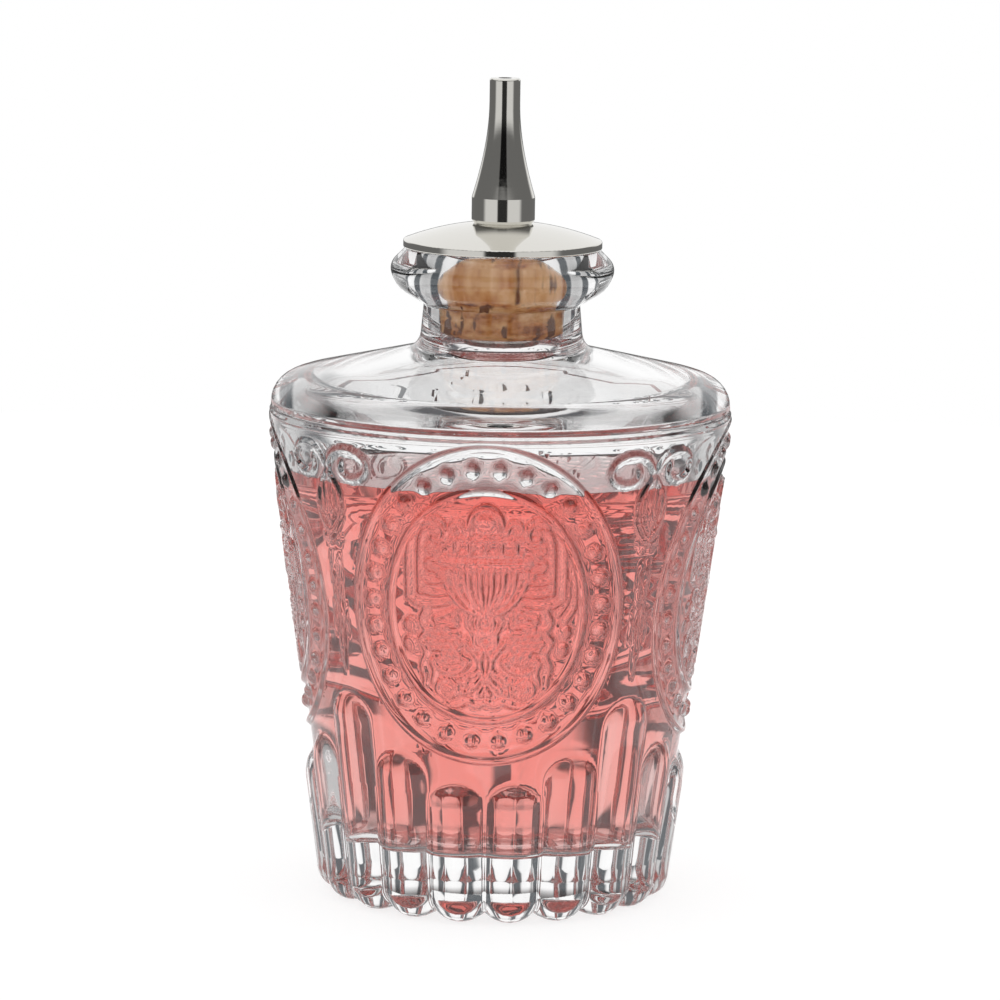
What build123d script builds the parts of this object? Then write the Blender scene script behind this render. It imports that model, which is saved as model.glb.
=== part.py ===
from build123d import *
from math import cos, pi, radians, sin, sqrt, tan
import os

# Bitters bottle: a pressed glass bottle with a dasher stopper.
# Millimetres, +Z up, origin at the middle of the base on the surface that it stands on.
# The front medallion faces -Y. The four medallions and the foot repeat every quarter turn.

# ---- Glass, outside -------------------------------------------------------------------
BASE_RADIUS = 24.5          # plain cone of the body, at the standing plane
BODY_TAPER = 7.71           # degrees that the body opens out, each side
EDGE_HEIGHT = 72.8          # mould line round the widest part
EDGE_STEP = 0.2             # the shoulder's half of the mould is this much smaller
SHOULDER_HEIGHT = 77.2      # where the shoulder's slope would meet its upright side
SHOULDER_FALL = 13.0        # degrees below level
CORNER_ROUND = 4.2          # band to shoulder
NECK_ROOT_RADIUS = 12.2
NECK_RADIUS = 11.6          # under the lip
NECK_HEIGHT = 6.4
LIP_HEIGHT = 8.35           # from the top of the neck to the rim
LIP_RADIUS = 17.0           # sharp corner of the bead, before it is rounded
LIP_BULGE_DROP = 2.7        # from the rim down to that corner
LIP_UNDER_RADIUS = 15.6     # corner under the bead
LIP_UNDER_RISE = 2.45       # from the top of the neck up to that corner
RIM_RADIUS = 14.3

# ---- Glass, inside --------------------------------------------------------------------
WALL = 3.8                  # level thickness of the tapered wall
SHOULDER_WALL = 3.7         # upright thickness of the shoulder
FLOOR_HEIGHT = 9.5          # thick base under the liquid
FLOOR_ROUND = 5.5
BORE_RADIUS = 9.3           # neck bore at its lower end
BORE_MOUTH_RADIUS = 9.7     # and at the rim
BORE_ROOT_ROUND = 2.0
LIQUID_HEIGHT = 64.2        # level of the bitters
LIQUID_FILM = 0.05          # keeps the two solids apart

# ---- Foot: gadroons and recess --------------------------------------------------------
GADROON_COUNT = 20
GADROON_PROUD = 1.7         # height of each rib over the cone
GADROON_RADIUS = 5.45       # of each rib's round back
GADROON_TOPS = (33.2, 25.5, 21.5, 21.5, 25.5)   # one quarter, from between two medallions
TOE_ROUND = 3.6
FOOT_LIFT = 1.2             # the body clears the surface between the toes
RECESS_RADIUS = 17.4
RECESS_DEPTH = 2.2          # over the standing plane at the wall of the recess
PUSH_UP = 3.4               # and at its middle

# ---- Medallions -----------------------------------------------------------------------
MEDALLION_COUNT = 4
MEDALLION_HEIGHT = 48.5     # of each centre
OUTER_RING = (20.4, 23.35)  # half width measured round the body, half height
INNER_RING = (14.4, 17.2)
RIDGE_WIDTH = 1.35
RIDGE_PROUD = 0.65          # over the cone, at the foot of a medallion
RIDGE_PROUD_TOP = 0.25      # and at its top, where the relief fades
RIDGE_ROUND = 0.35
RIDGE_ROOT = 0.5            # sunk into the wall, so that it is one glass

# ---- Stopper --------------------------------------------------------------------------
FIT_GAP = 0.05              # cork to bore, all round
CORK_LENGTH = 13.0          # under the disc
CORK_EDGE = 0.7
STEM_RADIUS = 3.0           # tube through the cork
STEM_BORE_RADIUS = 2.0
STEM_REACH = 4.6            # into the spout
STEM_TAIL = 0.5             # below the collar
STEM_GAP = 0.02
COLLAR_RADIUS = 5.7
COLLAR_HEIGHT = 2.4
COLLAR_EDGE = 0.3
DISC_RADIUS = 14.75
DISC_EDGE = 1.1             # upright band of the disc
DISC_RISE = 2.8             # of the dome over the band
DISC_EDGE_ROUND = 0.2
SPOUT_RADIUS = 4.69
SPOUT_FOOT_CHAMFER = 0.4
SPOUT_BARREL = 3.9          # straight part above the disc
SPOUT_HEIGHT = 21.5
SPOUT_TIP_RADIUS = 2.27
SPOUT_TIP_STRAIGHT = 3.6
SPOUT_TIP_ROUND = 0.35
SPOUT_ORIFICE_RADIUS = 1.0
SPOUT_THROAT_RADIUS = 1.5

# ---- Worked out from the sizes above ----------------------------------------------------
TAPER = tan(radians(BODY_TAPER))
EDGE_RADIUS = BASE_RADIUS + EDGE_HEIGHT * TAPER
BAND_RADIUS = EDGE_RADIUS - EDGE_STEP
FALL = tan(radians(SHOULDER_FALL))
NECK_ROOT_HEIGHT = SHOULDER_HEIGHT + (BAND_RADIUS - NECK_ROOT_RADIUS) * FALL
NECK_TOP_HEIGHT = NECK_ROOT_HEIGHT + NECK_HEIGHT
RIM_HEIGHT = NECK_TOP_HEIGHT + LIP_HEIGHT
CORK_FOOT_HEIGHT = RIM_HEIGHT - CORK_LENGTH
COLLAR_FOOT_HEIGHT = CORK_FOOT_HEIGHT - COLLAR_HEIGHT
DISC_BALL_RADIUS = (DISC_RADIUS ** 2 + DISC_RISE ** 2) / (2 * DISC_RISE)
DISC_APEX_HEIGHT = RIM_HEIGHT + DISC_EDGE + DISC_RISE
SEAT_RADIUS = SPOUT_RADIUS + 0.1
SPOUT_FOOT_HEIGHT = DISC_APEX_HEIGHT - DISC_BALL_RADIUS + sqrt(DISC_BALL_RADIUS ** 2 - SEAT_RADIUS ** 2)


def body_radius(height):
    """Radius of the plain outer cone at a height."""
    return BASE_RADIUS + height * TAPER


def turned(points, rounds):
    """Solid of revolution about Z from (radius, height) points that start and end on the axis."""
    path = FilletPolyline([(radius, 0, height) for radius, height in points], radius=rounds)
    face = make_face(path + Line(path @ 1, path @ 0))
    return revolve(face, Axis.Z)


# ---- Glass ----------------------------------------------------------------------------
def glass_blank():
    """The bottle's outer form, solid, before its foot and medallions."""
    points = [
        (0, FOOT_LIFT),
        (body_radius(FOOT_LIFT), FOOT_LIFT),
        (EDGE_RADIUS, EDGE_HEIGHT),
        (BAND_RADIUS, EDGE_HEIGHT + EDGE_STEP),
        (BAND_RADIUS, SHOULDER_HEIGHT),
        (NECK_ROOT_RADIUS, NECK_ROOT_HEIGHT),
        (NECK_RADIUS, NECK_TOP_HEIGHT),
        (LIP_UNDER_RADIUS, NECK_TOP_HEIGHT + LIP_UNDER_RISE),
        (LIP_RADIUS, RIM_HEIGHT - LIP_BULGE_DROP),
        (RIM_RADIUS, RIM_HEIGHT),
        (0, RIM_HEIGHT),
    ]
    return turned(points, [TOE_ROUND, 0, 0, CORNER_ROUND, 2.8, 0.4, 4.2, 2.2, 0.6])


def cavity(film):
    """Everything inside the glass: the tapered hold, the shoulder and the neck bore, less a film all round."""
    inner_base = BASE_RADIUS - WALL - film
    ceiling = SHOULDER_HEIGHT - SHOULDER_WALL - film
    corner_height = (ceiling + (BAND_RADIUS - inner_base) * FALL) / (1 + TAPER * FALL)
    bore = BORE_RADIUS - film
    floor = FLOOR_HEIGHT + film
    points = [
        (0, floor),
        (inner_base + floor * TAPER, floor),
        (inner_base + corner_height * TAPER, corner_height),
        (bore, ceiling + (BAND_RADIUS - bore) * FALL),
        (bore, CORK_FOOT_HEIGHT),
        (BORE_MOUTH_RADIUS - film, RIM_HEIGHT),
        (0, RIM_HEIGHT),
    ]
    return turned(points, [FLOOR_ROUND, CORNER_ROUND, BORE_ROOT_ROUND, 0, 0])


def gadroon(top_height):
    """One round-backed rib over +X: a rod along the cone's slope, domed at its top, its toe cut level and rounded."""
    slope = Plane(
        origin=(BASE_RADIUS, 0, 0),
        x_dir=(cos(radians(BODY_TAPER)), 0, -sin(radians(BODY_TAPER))),
        z_dir=(sin(radians(BODY_TAPER)), 0, cos(radians(BODY_TAPER))),
    )
    sunk = GADROON_RADIUS - GADROON_PROUD
    arch = sqrt(GADROON_RADIUS ** 2 - sunk ** 2)
    rod_length = top_height / cos(radians(BODY_TAPER)) - arch
    below = GADROON_RADIUS
    outline = (
        Polyline((0, rod_length + GADROON_RADIUS), (0, -below), (GADROON_RADIUS, -below), (GADROON_RADIUS, rod_length))
        + CenterArc((0, rod_length), GADROON_RADIUS, 0, 90)
    )
    rod = revolve(Plane.XZ * make_face(outline), Axis.Z)
    rod = slope * Pos(-sunk, 0, 0) * rod
    toe = split(rod, Plane.XY, keep=Keep.TOP)
    foot_edge = toe.edges().sort_by(Axis.Z)[0]
    return fillet(foot_edge, TOE_ROUND)


def foot():
    """All the gadroons, in the order that repeats between two medallions."""
    pitch = 360 / GADROON_COUNT
    between_medallions = -45
    ribs = []
    for index in range(GADROON_COUNT):
        top = GADROON_TOPS[index % len(GADROON_TOPS)]
        ribs.append(Rot(0, 0, between_medallions + index * pitch) * gadroon(top))
    return ribs


def recess():
    """The hollow under the base: a low wall inside the toes and a gentle push-up."""
    points = [(0, -1), (RECESS_RADIUS, -1), (RECESS_RADIUS - 0.6, RECESS_DEPTH), (0, PUSH_UP)]
    return turned(points, [0, 0.8])


def oval(half_width, half_height):
    """Face on the XZ plane: an oval drawn round the cone, its width measured along the glass, seen square on."""
    steps = 24
    points = []
    for index in range(steps):
        turn = 2 * pi * index / steps
        height = MEDALLION_HEIGHT + half_height * sin(turn)
        radius = body_radius(height)
        points.append((radius * sin(half_width * cos(turn) / radius), 0, height))
    return make_face(Spline(points, periodic=True))


def relief(height):
    """How far the rings stand over the cone at a height: they fade evenly from the medallion's foot to its top."""
    share = (height - MEDALLION_HEIGHT + OUTER_RING[1]) / (2 * OUTER_RING[1])
    return RIDGE_PROUD + (RIDGE_PROUD_TOP - RIDGE_PROUD) * share


def medallion_ring(half_width, half_height):
    """A raised oval ridge on the front of the body, its crest rounded."""
    ridge = RIDGE_WIDTH / 2
    outside = oval(half_width + ridge, half_height + ridge)
    inside = oval(half_width - ridge, half_height - ridge)
    band = extrude(outside - inside, amount=EDGE_RADIUS + RIDGE_PROUD, dir=(0, -1, 0))
    low = MEDALLION_HEIGHT - half_height - RIDGE_WIDTH
    high = MEDALLION_HEIGHT + half_height + RIDGE_WIDTH
    skin = Polyline(
        (body_radius(low) - RIDGE_ROOT, 0, low),
        (body_radius(high) - RIDGE_ROOT, 0, high),
        (body_radius(high) + relief(high), 0, high),
        (body_radius(low) + relief(low), 0, low),
        close=True,
    )
    ring = band & revolve(make_face(skin), Axis.Z)
    crest = ring.faces().sort_by(Axis.Y)[0]
    return fillet(crest.edges(), RIDGE_ROUND)


def glass_bottle():
    """Pressed glass: blank, gadroons and rings as one solid, hollowed by the cavity and the recess."""
    rings = [medallion_ring(*OUTER_RING), medallion_ring(*INNER_RING)]
    raised = foot()
    for index in range(MEDALLION_COUNT):
        raised += [Rot(0, 0, index * 360 / MEDALLION_COUNT) * ring for ring in rings]
    return glass_blank() + raised - cavity(0) - recess()


def bitters():
    """The liquid: the cavity's shape up to the level."""
    above = Pos(0, 0, LIQUID_HEIGHT) * Cylinder(BAND_RADIUS, RIM_HEIGHT, align=(Align.CENTER, Align.CENTER, Align.MIN))
    return cavity(LIQUID_FILM) - above


# ---- Stopper --------------------------------------------------------------------------
def tube(outer, bore, low, high):
    """Plain tube about Z."""
    upright = (Align.CENTER, Align.CENTER, Align.MIN)
    return Pos(0, 0, low) * (Cylinder(outer, high - low, align=upright) - Cylinder(bore, high - low, align=upright))


def cork():
    """Tapered cork with a broken lower edge, bored for the stem."""
    points = [
        (0, CORK_FOOT_HEIGHT),
        (BORE_RADIUS - FIT_GAP, CORK_FOOT_HEIGHT),
        (BORE_MOUTH_RADIUS - FIT_GAP, RIM_HEIGHT),
        (0, RIM_HEIGHT),
    ]
    plug = turned(points, [CORK_EDGE, 0])
    return plug - Cylinder(STEM_RADIUS + STEM_GAP, 4 * RIM_HEIGHT)


def cap_disc():
    """Domed disc that covers the rim, with a level seat for the spout and a hole for the stem."""
    upright = (Align.CENTER, Align.CENTER, Align.MIN)
    ball = Pos(0, 0, DISC_APEX_HEIGHT - DISC_BALL_RADIUS) * Sphere(DISC_BALL_RADIUS)
    blank = Pos(0, 0, RIM_HEIGHT) * Cylinder(DISC_RADIUS, SPOUT_FOOT_HEIGHT - RIM_HEIGHT, align=upright)
    disc = blank & ball
    rim_edges = disc.edges().filter_by(GeomType.CIRCLE).filter_by(lambda edge: edge.radius > DISC_RADIUS - 0.01)
    disc = fillet(rim_edges, DISC_EDGE_ROUND)
    return disc - Cylinder(STEM_RADIUS + STEM_GAP, 4 * RIM_HEIGHT)


def stem_tube():
    """Tube that carries the bitters through the cork and holds the stopper together."""
    return tube(STEM_RADIUS, STEM_BORE_RADIUS, COLLAR_FOOT_HEIGHT - STEM_TAIL, SPOUT_FOOT_HEIGHT + STEM_REACH)


def retaining_collar():
    """Round collar on the stem that clamps the cork against the disc."""
    collar = tube(COLLAR_RADIUS, STEM_RADIUS + STEM_GAP, COLLAR_FOOT_HEIGHT, CORK_FOOT_HEIGHT)
    outer_edges = collar.edges().filter_by(GeomType.CIRCLE).filter_by(lambda edge: edge.radius > STEM_RADIUS + 1)
    return fillet(outer_edges, COLLAR_EDGE)


def spout():
    """Turned spout: a short barrel, a concave flare to a slim tip, and a passage with a small orifice."""
    foot_height = SPOUT_FOOT_HEIGHT
    barrel_top = foot_height + SPOUT_BARREL
    tip = foot_height + SPOUT_HEIGHT
    tip_start = tip - SPOUT_TIP_STRAIGHT
    outline = (
        Polyline(
            (0, 0, tip),
            (0, 0, foot_height),
            (SPOUT_RADIUS - SPOUT_FOOT_CHAMFER, 0, foot_height),
            (SPOUT_RADIUS, 0, foot_height + 1.5 * SPOUT_FOOT_CHAMFER),
            (SPOUT_RADIUS, 0, barrel_top),
        )
        + Spline(
            (SPOUT_RADIUS, 0, barrel_top),
            (SPOUT_TIP_RADIUS, 0, tip_start),
            tangents=[(-0.3, 0, 1), (0, 0, 1)],
            tangent_scalars=[1.2, 0.9],
        )
        + Polyline((SPOUT_TIP_RADIUS, 0, tip_start), (SPOUT_TIP_RADIUS, 0, tip), (0, 0, tip))
    )
    body = revolve(make_face(outline), Axis.Z)
    tip_edge = body.edges().filter_by(GeomType.CIRCLE).sort_by(Axis.Z)[-1]
    body = fillet(tip_edge, SPOUT_TIP_ROUND)
    socket_top = foot_height + STEM_REACH + STEM_GAP
    socket = tube(STEM_RADIUS + STEM_GAP, 0.001, foot_height, socket_top)
    passage = [
        (0, foot_height),
        (STEM_BORE_RADIUS, foot_height),
        (STEM_BORE_RADIUS, socket_top),
        (SPOUT_THROAT_RADIUS, socket_top + 1.0),
        (SPOUT_THROAT_RADIUS, tip - 1.5),
        (SPOUT_ORIFICE_RADIUS, tip - 1.0),
        (SPOUT_ORIFICE_RADIUS, tip),
        (0, tip),
    ]
    return body - turned(passage, [0] * 6) - socket


# ---- Write the pieces -------------------------------------------------------------------
PIECES = {
    "glass_bottle": glass_bottle,
    "bitters": bitters,
    "cork": cork,
    "cap_disc": cap_disc,
    "spout": spout,
    "stem_tube": stem_tube,
    "retaining_collar": retaining_collar,
}

os.makedirs("parts", exist_ok=True)
for name, make in PIECES.items():
    solid = make()
    solid.label = name
    print(name, "volume in ml", round(solid.volume / 1000, 1))
    export_step(solid, f"parts/{name}.step")
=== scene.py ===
import logging
from dataclasses import dataclass, field
from enum import Enum
from math import acos, cos, pi, radians, sin, sqrt, tan
from typing import Sequence

import bpy
import numpy as np
from bpy.types import Material, Mesh, Node, NodeSocket, NodeTree, Object
from mathutils import Matrix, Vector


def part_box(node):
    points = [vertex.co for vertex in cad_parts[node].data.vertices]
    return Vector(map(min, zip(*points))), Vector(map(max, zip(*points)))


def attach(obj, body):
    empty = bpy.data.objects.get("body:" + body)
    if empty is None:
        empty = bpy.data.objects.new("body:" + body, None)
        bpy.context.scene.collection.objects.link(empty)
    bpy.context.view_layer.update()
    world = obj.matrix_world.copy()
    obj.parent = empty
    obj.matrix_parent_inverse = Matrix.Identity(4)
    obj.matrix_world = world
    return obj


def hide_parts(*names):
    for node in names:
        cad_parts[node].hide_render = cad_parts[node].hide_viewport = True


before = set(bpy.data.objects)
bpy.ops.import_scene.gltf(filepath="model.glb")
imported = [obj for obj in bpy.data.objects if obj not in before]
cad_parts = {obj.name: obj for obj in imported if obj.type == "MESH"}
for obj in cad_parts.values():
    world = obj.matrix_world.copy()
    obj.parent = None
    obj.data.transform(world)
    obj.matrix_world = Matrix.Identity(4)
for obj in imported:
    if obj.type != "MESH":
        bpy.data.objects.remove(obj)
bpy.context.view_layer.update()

# Looks for a bitters bottle: pressed glass, red bitters and a polished dasher stopper.
# Shapes are worked out in millimetres and written in metres. The front medallion faces -Y.

MM = 0.001
LOG = logging.getLogger("bitters_bottle")
QUARTER = 90.0
WHITE = "#ffffff"

# Node settings that come up often.
SMOOTH = {"interpolation_type": "SMOOTHSTEP"}
COLOURS = {"data_type": "RGBA"}


# ---- Small tools ------------------------------------------------------------------------
def linear(colour: str) -> tuple[float, float, float, float]:
    """Turns an sRGB hex colour into the linear one that a shader takes.

    Args:
        colour: Six hex digits after a hash sign.

    Returns:
        Red, green, blue and an alpha of one.
    """
    shares = [int(colour[place:place + 2], 16) / 255 for place in (1, 3, 5)]
    red, green, blue = [
        share / 12.92 if share <= 0.04045 else ((share + 0.055) / 1.055) ** 2.4
        for share in shares
    ]
    return red, green, blue, 1.0


def add_node(
    tree: NodeTree,
    kind: str,
    settings: dict | None = None,
    inputs: dict | tuple | None = None,
) -> Node:
    """Adds one shader node with its settings, its socket values and its links.

    Args:
        tree: Node tree that takes the node.
        kind: Blender's name for the kind of node, after the word ShaderNode.
        settings: Attributes of the node itself.
        inputs: A value or an output socket for each named or numbered input, or for the first few in order.

    Returns:
        The new node.
    """
    node = tree.nodes.new("ShaderNode" + kind)
    for name, value in (settings or {}).items():
        setattr(node, name, value)
    pairs = enumerate(inputs) if isinstance(inputs, tuple) else (inputs or {}).items()
    for name, value in pairs:
        socket = node.inputs[name]
        if isinstance(value, NodeSocket):
            tree.links.new(value, socket)
        else:
            socket.default_value = value
    return node


def new_material(name: str) -> tuple[Material, NodeTree]:
    """Makes an empty node material.

    Args:
        name: Name of the real finish.

    Returns:
        The material and its cleared node tree.
    """
    material = bpy.data.materials.new(name)
    material.use_nodes = True
    material.node_tree.nodes.clear()
    return material, material.node_tree


# ---- Surfaces -----------------------------------------------------------------------------
@dataclass(frozen=True)
class Corner:
    """One corner of a turned outline, in millimetres, and the radius that rounds it."""

    radius: float
    height: float
    round: float = 0.0


def outline(corners: Sequence[Corner], longest: float = 2.0, arc_pieces: int = 8) -> np.ndarray:
    """Follows a run of corners, with an arc at each rounded one.

    An arc starts and ends one tangent length from its corner, the length that makes it meet both sides
    smoothly. A straight run is cut into equal pieces, none longer than the longest allowed.

    Args:
        corners: The corners in order.
        longest: Longest piece of a straight run, in millimetres.
        arc_pieces: Pieces in a right-angled arc.

    Returns:
        An array of (radius, height) rows.
    """
    places = np.array([(corner.radius, corner.height) for corner in corners])
    path = [places[:1]]
    for before, corner, after, bend in zip(places[:-2], places[1:-1], places[2:], corners[1:-1]):
        if bend.round == 0:
            path.append(corner[None])
            continue
        back = (before - corner) / np.linalg.norm(before - corner)
        ahead = (after - corner) / np.linalg.norm(after - corner)
        half = acos(float(np.clip(back @ ahead, -1, 1))) / 2
        middle = (back + ahead) / np.linalg.norm(back + ahead)
        centre = corner + middle * bend.round / sin(half)
        first = corner + back * bend.round / tan(half) - centre
        last = corner + ahead * bend.round / tan(half) - centre
        sweep = pi - 2 * half
        pieces = max(2, round(arc_pieces * sweep / (pi / 2)))
        share = np.linspace(0, 1, pieces + 1)[:, None]
        arc = np.sin((1 - share) * sweep) * first + np.sin(share * sweep) * last
        path.append(centre + arc / sin(sweep))
    path.append(places[-1:])
    points = np.concatenate(path)
    runs = []
    for start, stop in zip(points[:-1], points[1:]):
        pieces = max(1, int(np.ceil(np.linalg.norm(stop - start) / longest)))
        share = np.arange(pieces)[:, None] / pieces
        runs.append(start + (stop - start) * share)
    return np.concatenate(runs + [points[-1:]])


def turned_points(path: np.ndarray, angles: np.ndarray) -> np.ndarray:
    """Carries a (radius, height) path round the axis.

    Args:
        path: Rows of radius and height.
        angles: Angles about the axis, in degrees.

    Returns:
        Points in an array of path rows by angles by three.
    """
    turn = np.radians(angles)[None, :]
    radius, height = path[:, :1], path[:, 1:]
    return np.stack(np.broadcast_arrays(radius * np.cos(turn), radius * np.sin(turn), height), axis=-1)


class Skin:
    """Collects rings of points and the faces between them, and ends as one closed mesh."""

    def __init__(self) -> None:
        """Starts with no points."""
        self.points: list[np.ndarray] = []
        self.faces: list[np.ndarray] = []
        self.count = 0

    def add(self, points: np.ndarray) -> np.ndarray:
        """Adds points.

        Args:
            points: Array whose last axis is x, y and z, in millimetres.

        Returns:
            The new points' numbers, in the array's own shape.
        """
        flat = points.reshape(-1, 3)
        numbers = np.arange(self.count, self.count + len(flat)).reshape(points.shape[:-1])
        self.points.append(flat)
        self.count += len(flat)
        return numbers

    def band(self, rings: np.ndarray) -> None:
        """Joins each ring to the next, where a ring runs anticlockwise and the next is further along the
        skin.

        Args:
            rings: Point numbers, one row for each ring.
        """
        low, high = rings[:-1], rings[1:]
        corners = (low, np.roll(low, -1, 1), np.roll(high, -1, 1), high)
        self.faces.append(np.stack(corners, -1).reshape(-1, 4))

    def fan(self, ring: np.ndarray, centre: np.ndarray, outwards: bool) -> None:
        """Closes a ring onto one point.

        Args:
            ring: Point numbers, anticlockwise.
            centre: The number of the one point.
            outwards: True where the skin runs from the point to the ring.
        """
        middle = np.full_like(ring, centre.item())
        after = np.roll(ring, -1)
        order = (middle, after, ring) if outwards else (ring, after, middle)
        self.faces.append(np.stack(order, -1))

    def zip(self, inner: np.ndarray, inner_at: np.ndarray, outer: np.ndarray, outer_at: np.ndarray) -> None:
        """Joins two rings of different counts by triangles, taking their points in order of angle.

        Each edge of a ring makes a triangle with the point that the other ring has reached at that angle.

        Args:
            inner: Point numbers of the inside ring, or of the ring further along the skin.
            inner_at: Their rising angles, in degrees from 0 to 360.
            outer: Point numbers of the other ring.
            outer_at: Their rising angles.
        """
        reached = outer[(np.searchsorted(outer_at, inner_at, "right") - 1) % len(outer)]
        self.faces.append(np.stack((np.roll(inner, 1), reached, inner), -1))
        reached = inner[(np.searchsorted(inner_at, outer_at, "left") - 1) % len(inner)]
        self.faces.append(np.stack((reached, np.roll(outer, 1), outer), -1))

    def mesh(self, name: str) -> Mesh:
        """Writes the points that a face uses, and the faces, into a new mesh.

        Args:
            name: Name of the mesh.

        Returns:
            The mesh, in metres and shaded smooth.
        """
        loops = np.concatenate([faces.ravel() for faces in self.faces])
        sizes = np.concatenate([np.full(len(faces), faces.shape[1]) for faces in self.faces])
        used, loops = np.unique(loops, return_inverse=True)
        points = np.concatenate(self.points)[used] * MM
        mesh = bpy.data.meshes.new(name)
        mesh.vertices.add(len(points))
        mesh.vertices.foreach_set("co", points.astype(np.float32).ravel())
        mesh.loops.add(len(loops))
        mesh.loops.foreach_set("vertex_index", loops.astype(np.int32).ravel())
        mesh.polygons.add(len(sizes))
        mesh.polygons.foreach_set("loop_start", (np.cumsum(sizes) - sizes).astype(np.int32))
        mesh.polygons.foreach_set("use_smooth", np.ones(len(sizes), bool))
        mesh.update(calc_edges=True)
        if mesh.validate():
            LOG.warning("%s had faces that Blender mended", name)
        return mesh


def add_piece(mesh: Mesh, material: Material, body: str) -> Object:
    """Puts a finished mesh into the scene as a piece that rides on a body.

    Args:
        mesh: The piece's mesh, with its place in it.
        material: Its finish.
        body: CAD body that it moves with.

    Returns:
        The new object.
    """
    piece = bpy.data.objects.new(mesh.name, mesh)
    mesh.materials.append(material)
    bpy.context.scene.collection.objects.link(piece)
    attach(piece, body)
    faces = np.zeros(len(mesh.polygons), np.int32)
    mesh.polygons.foreach_get("loop_total", faces)
    LOG.info("%s: %d triangles", piece.name, int((faces - 2).sum()))
    return piece


# ---- Finishes -----------------------------------------------------------------------------
@dataclass(frozen=True)
class PressedGlass:
    """Soda-lime glass pressed in an iron mould and fire-polished: clear, with a faint slow ripple."""

    ior: float = 1.5
    ripple_mm: float = 9.0
    ripple_depth_mm: float = 0.2
    ripple_strength: float = 0.03

    def material(self) -> Material:
        """Returns the glass, whose ripple is a slow bump."""
        material, tree = new_material("pressed_glass")
        place = add_node(tree, "TexCoord").outputs["Object"]
        ripple = add_node(tree, "TexNoise", None, {
            "Vector": place, "Scale": 1 / (self.ripple_mm * MM), "Detail": 1.0,
        })
        bump = add_node(tree, "Bump", None, {
            "Height": ripple.outputs[0],
            "Strength": self.ripple_strength,
            "Distance": self.ripple_depth_mm * MM,
        })
        glass = add_node(tree, "BsdfPrincipled", None, {
            "Base Color": linear(WHITE),
            "Roughness": 0.0,
            "IOR": self.ior,
            "Transmission Weight": 1.0,
            "Normal": bump.outputs[0],
        })
        add_node(tree, "OutputMaterial", None, {"Surface": glass.outputs[0]})
        return material


@dataclass(frozen=True)
class Bitters:
    """Red bitters, a thin spirit: clear, and deeper red the further the light goes through it."""

    ior: float = 1.36
    density: float = 34.0
    keeps: tuple[float, float, float] = (0.985, 0.2, 0.1)

    def material(self) -> Material:
        """Returns the liquid, coloured by absorption alone."""
        material, tree = new_material("red_bitters")
        liquid = add_node(tree, "BsdfPrincipled", None, {
            "Base Color": linear(WHITE), "Roughness": 0.0, "IOR": self.ior, "Transmission Weight": 1.0,
        })
        depth = add_node(tree, "VolumeAbsorption", None, {
            "Color": (*self.keeps, 1.0), "Density": self.density,
        })
        add_node(tree, "OutputMaterial", None, {
            "Surface": liquid.outputs[0], "Volume": depth.outputs[0],
        })
        return material


@dataclass(frozen=True)
class NaturalCork:
    """Bark cork, turned and bored: warm tan with darker growth streaks and upright brown lenticels."""

    streak_mm: float = 4.8
    streak_squeeze: float = 2.6
    grain_mm: float = 1.0
    grain_share: float = 0.35
    tones: tuple[tuple[float, str], ...] = (
        (0.46, "#8a4a22"), (0.58, "#c47c40"), (0.72, "#dda36a"), (0.9, "#f2c596"),
    )
    lenticel_mm: float = 1.8
    lenticel_squeeze: float = 0.35
    lenticel_edge: tuple[float, float] = (0.58, 0.66)
    lenticel_colour: str = "#74462a"
    bump_strength: float = 0.5
    bump_mm: float = 0.3

    def material(self) -> Material:
        """Returns the cork, its tone from streaks and grain and its feel from a fine bump."""
        material, tree = new_material("natural_cork")
        place = add_node(tree, "TexCoord").outputs["Object"]
        patterns = []
        for spacing, squeeze, detail in (
            (self.streak_mm, self.streak_squeeze, 4.0),
            (self.grain_mm, 1.0, 3.0),
            (self.lenticel_mm, self.lenticel_squeeze, 2.0),
        ):
            drawn = add_node(tree, "Mapping", None, {"Vector": place, "Scale": (1.0, 1.0, squeeze)})
            patterns.append(add_node(tree, "TexNoise", None, {
                "Vector": drawn.outputs[0], "Scale": 1 / (spacing * MM), "Detail": detail,
            }).outputs[0])
        streaks, grain, lenticels = patterns
        bark = add_node(tree, "Math", {"operation": "MULTIPLY_ADD"}, (grain, self.grain_share, streaks))
        tone = add_node(tree, "ValToRGB", None, (bark.outputs[0],))
        stops = tone.color_ramp.elements
        for number, (position, colour) in enumerate(self.tones):
            stop = stops[number] if number < len(stops) else stops.new(position)
            stop.position, stop.color = position, linear(colour)
        marked = add_node(tree, "MapRange", SMOOTH, (lenticels, *self.lenticel_edge))
        colour = add_node(tree, "Mix", COLOURS, {
            0: marked.outputs[0], 6: tone.outputs[0], 7: linear(self.lenticel_colour),
        })
        bump = add_node(tree, "Bump", None, {
            "Height": bark.outputs[0], "Strength": self.bump_strength, "Distance": self.bump_mm * MM,
        })
        cork = add_node(tree, "BsdfPrincipled", None, {
            "Base Color": colour.outputs[2],
            "Roughness": 0.75,
            "Specular IOR Level": 0.35,
            "Normal": bump.outputs[0],
        })
        add_node(tree, "OutputMaterial", None, {"Surface": cork.outputs[0]})
        return material


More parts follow.
